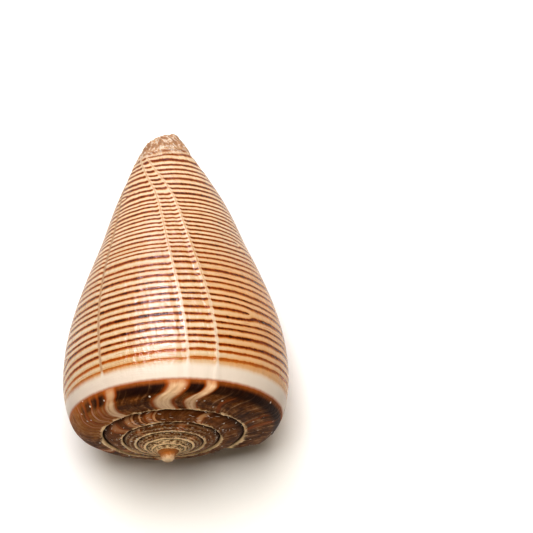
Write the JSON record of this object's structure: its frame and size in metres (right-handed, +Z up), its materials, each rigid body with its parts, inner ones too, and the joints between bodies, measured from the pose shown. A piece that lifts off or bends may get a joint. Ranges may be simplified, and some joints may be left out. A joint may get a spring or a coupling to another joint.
{
  "type": "cone shell",
  "caption": "Empty sea snail's shell: a smooth body whorl tapering to a narrow tip, a low stepped spire, and a long open slot along one side.",
  "frame": {"origin": "centre of the shell's footprint box, on the plane it rests on", "axes": "+Y along the shell from the spire to the narrow tip, +Z up as it lies on its opening, +X towards the outer lip's side"},
  "size_m": [0.0478, 0.072, 0.0439],
  "materials": {
    "shell": "gloss"
  },
  "bodies": {
    "root": {"shell": "shell"}
  },
  "joints": []
}
